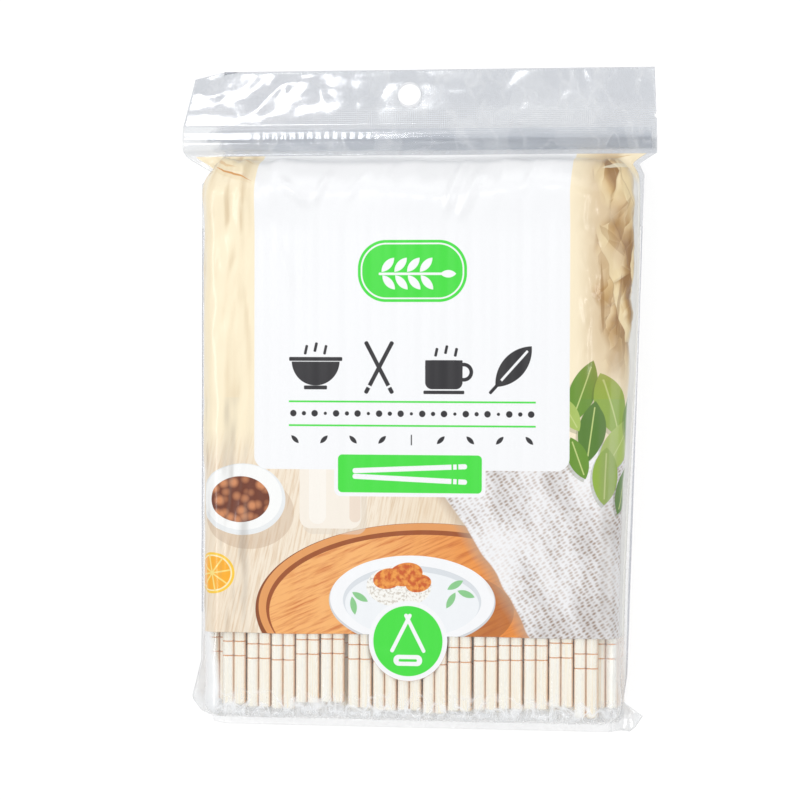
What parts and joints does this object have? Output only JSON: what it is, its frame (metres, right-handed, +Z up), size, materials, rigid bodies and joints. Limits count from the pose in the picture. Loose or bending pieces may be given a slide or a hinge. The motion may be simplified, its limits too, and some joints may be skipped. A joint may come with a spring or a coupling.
{
  "type": "pack of wrapped bamboo chopsticks",
  "caption": "Flat sealed film bag with a zip and a hang-hole header, filled with layers of round bamboo chopsticks, each pair in its own clear sleeve.",
  "frame": {"origin": "under the middle of the bag's length and width, on the surface its back lies on", "axes": "+Z up out of the printed front, +Y along the sticks towards the header with the hang hole, +X across to the right as the front is read"},
  "size_m": [0.2216, 0.303, 0.0345],
  "materials": {
    "printed_film": "glossy clear laminate, printed over most of the front",
    "clear_film": "glossy clear laminate",
    "zip_plastic": "milky extruded polyethylene",
    "bamboo": "planed and tumbled pale bamboo, uncoated",
    "sleeve_film": "thin crinkled clear film"
  },
  "bodies": {
    "root": {"front_film": "printed_film", "back_film": "clear_film", "zip_channel_strip": "zip_plastic", "zip_rib_strip": "zip_plastic", "chopsticks_layer_1": "bamboo", "sleeves_layer_1": "sleeve_film", "chopsticks_layer_2": "bamboo", "sleeves_layer_2": "sleeve_film", "chopsticks_layer_3": "bamboo", "sleeves_layer_3": "sleeve_film", "chopsticks_layer_4": "bamboo", "sleeves_layer_4": "sleeve_film", "chopsticks_layer_5": "bamboo", "sleeves_layer_5": "sleeve_film", "chopstick_pair_01": "bamboo", "pair_sleeve_01": "sleeve_film", "chopstick_pair_02": "bamboo", "pair_sleeve_02": "sleeve_film", "chopstick_pair_03": "bamboo", "pair_sleeve_03": "sleeve_film", "chopstick_pair_04": "bamboo", "pair_sleeve_04": "sleeve_film", "chopstick_pair_05": "bamboo", "pair_sleeve_05": "sleeve_film", "chopstick_pair_06": "bamboo", "pair_sleeve_06": "sleeve_film", "chopstick_pair_07": "bamboo", "pair_sleeve_07": "sleeve_film", "chopstick_pair_08": "bamboo", "pair_sleeve_08": "sleeve_film", "chopstick_pair_09": "bamboo", "pair_sleeve_09": "sleeve_film", "chopstick_pair_10": "bamboo", "pair_sleeve_10": "sleeve_film", "chopstick_pair_11": "bamboo", "pair_sleeve_11": "sleeve_film", "chopstick_pair_12": "bamboo", "pair_sleeve_12": "sleeve_film", "chopstick_pair_13": "bamboo", "pair_sleeve_13": "sleeve_film", "chopstick_pair_14": "bamboo", "pair_sleeve_14": "sleeve_film", "chopstick_pair_15": "bamboo", "pair_sleeve_15": "sleeve_film"}
  },
  "joints": []
}
